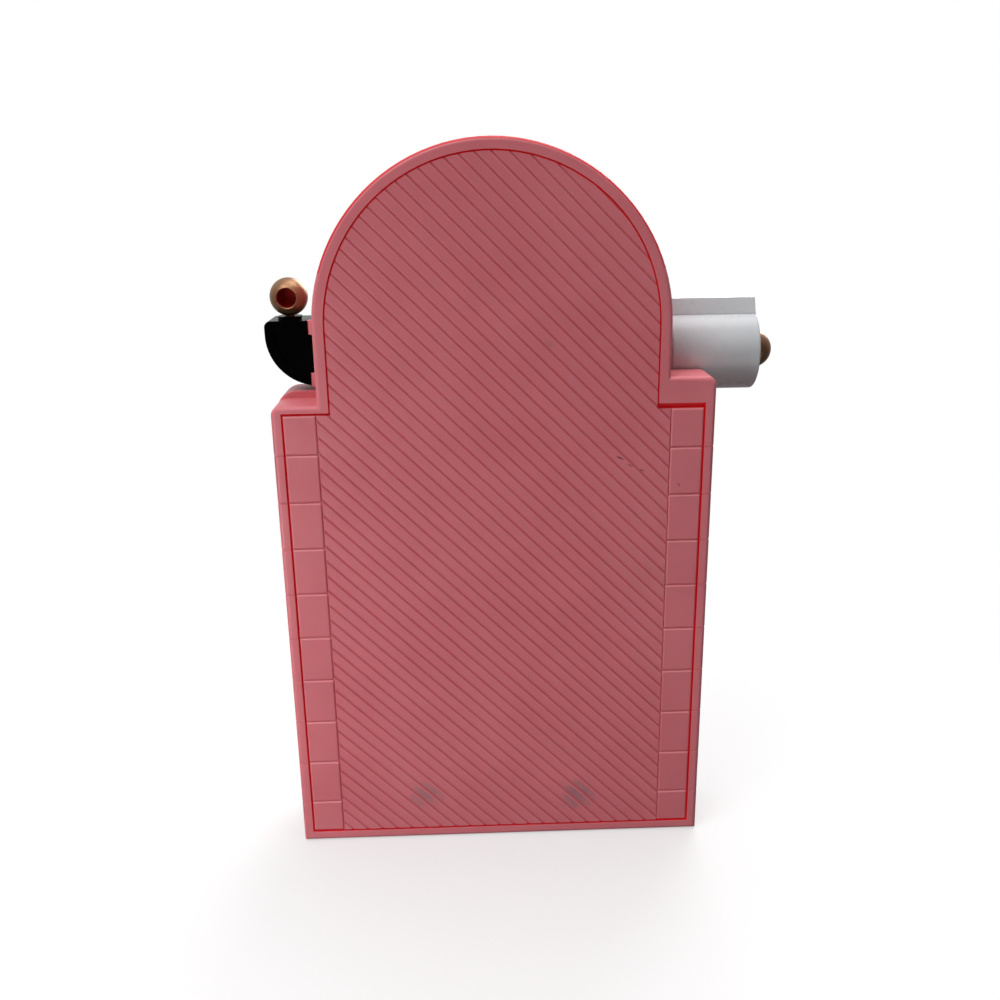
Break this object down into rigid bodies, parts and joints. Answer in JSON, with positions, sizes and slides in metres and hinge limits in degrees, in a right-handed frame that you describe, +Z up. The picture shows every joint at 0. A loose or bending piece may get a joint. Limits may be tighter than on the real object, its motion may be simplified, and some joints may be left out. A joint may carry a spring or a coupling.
{
  "type": "toy playhouse",
  "caption": "Doll-scale round-headed plastic playhouse: two moulded shells that open like a book, side lamp arm with globe, roller drum, door, shutters and folding furniture.",
  "frame": {"origin": "on the floor, midway across the body, on the seam between the rear and front shells", "axes": "+Z up, +Y towards the back panel, +X towards the lamp arm; the facade and door face -Y"},
  "size_m": [0.2505, 0.0597, 0.3563],
  "materials": {
    "pink_abs": "satin moulded ABS",
    "white_abs": "glossy moulded",
    "black_abs": "polished moulded",
    "gold_plate": "vacuum metallised gold",
    "lilac_abs": "satin moulded",
    "clear_ps": "clear",
    "steel": "bright zinc",
    "mirror_foil": "mirror foil on styrene",
    "flower_pvc": "soft moulded foliage and blossom"
  },
  "bodies": {
    "rear_shell": {"rear_frame": "pink_abs", "back_panel": "pink_abs", "panel_screws": "steel", "hinge_pins": "steel", "rear_lower_floor": "lilac_abs", "rear_upper_floor": "lilac_abs", "staircase": "white_abs", "mirror_frame": "gold_plate", "mirror_plate": "mirror_foil", "table_rail": "lilac_abs", "bed_rail": "lilac_abs"},
    "front_shell": {"front_frame": "pink_abs", "front_lower_floor": "lilac_abs", "front_upper_floor": "lilac_abs", "lower_left_window_frame": "white_abs", "lower_left_window_pane": "clear_ps", "lower_right_window_frame": "white_abs", "lower_right_window_pane": "clear_ps", "upper_window_frame": "white_abs", "upper_window_pane": "clear_ps", "rose_window_frame": "white_abs", "rose_window_pane": "clear_ps", "door_frame": "white_abs", "fanlight_pane": "clear_ps", "door_step": "white_abs", "awning": "black_abs", "flower_box": "black_abs", "flowers": "flower_pvc", "sign_plate": "gold_plate", "lamp_pin": "steel", "drum_case": "white_abs", "drum_screws": "steel", "latch_screw": "steel"},
    "door": {"door_leaf": "white_abs", "door_knob": "gold_plate"},
    "left_shutter": {"left_shutter": "black_abs"},
    "right_shutter": {"right_shutter": "black_abs"},
    "lamp_arm": {"lamp_arm": "black_abs"},
    "lamp_globe": {"lamp_globe": "gold_plate"},
    "roller": {"drum_roller": "white_abs", "drum_knob": "gold_plate"},
    "latch": {"latch_hook": "black_abs"},
    "table": {"fold_table": "white_abs"},
    "bed": {"fold_bed": "lilac_abs"}
  },
  "joints": [
    {"name": "house_hinge", "type": "hinge", "parent": "rear_shell", "child": "front_shell", "pos_m": [0.107, 0, 0.18], "axis": [0, 0, 1], "range_deg": [0, 150]},
    {"name": "door_hinge", "type": "hinge", "parent": "front_shell", "child": "door", "pos_m": [-0.0196, -0.0212, 0.042], "axis": [0, 0, 1], "range_deg": [-95, 0]},
    {"name": "left_shutter_hinge", "type": "hinge", "parent": "front_shell", "child": "left_shutter", "pos_m": [-0.038, -0.023, 0.178], "axis": [0, 0, 1], "range_deg": [0, 175]},
    {"name": "right_shutter_hinge", "type": "hinge", "parent": "front_shell", "child": "right_shutter", "pos_m": [0.038, -0.023, 0.178], "axis": [0, 0, 1], "range_deg": [-175, 0]},
    {"name": "lamp_arm_swing", "type": "hinge", "parent": "front_shell", "child": "lamp_arm", "pos_m": [0.0864, -0.0028, 0.258], "axis": [0, 0, 1], "range_deg": [0, 65]},
    {"name": "globe_turn", "type": "hinge", "parent": "lamp_arm", "child": "lamp_globe", "pos_m": [0.0978, -0.0105, 0.2852], "axis": [0, 0, 1], "continuous": true},
    {"name": "drum_knob_turn", "type": "hinge", "parent": "front_shell", "child": "roller", "pos_m": [-0.11, -0.0197, 0.254], "axis": [1, 0, 0], "continuous": true},
    {"name": "latch_turn", "type": "hinge", "parent": "front_shell", "child": "latch", "pos_m": [-0.1067, -0.008, 0.11], "axis": [1, 0, 0], "range_deg": [0, 100]},
    {"name": "table_fold", "type": "hinge", "parent": "rear_shell", "child": "table", "pos_m": [0.049, 0.0136, 0.045], "axis": [1, 0, 0], "range_deg": [0, 90]},
    {"name": "bed_fold", "type": "hinge", "parent": "rear_shell", "child": "bed", "pos_m": [0.027, 0.0136, 0.128], "axis": [1, 0, 0], "range_deg": [0, 90]}
  ]
}
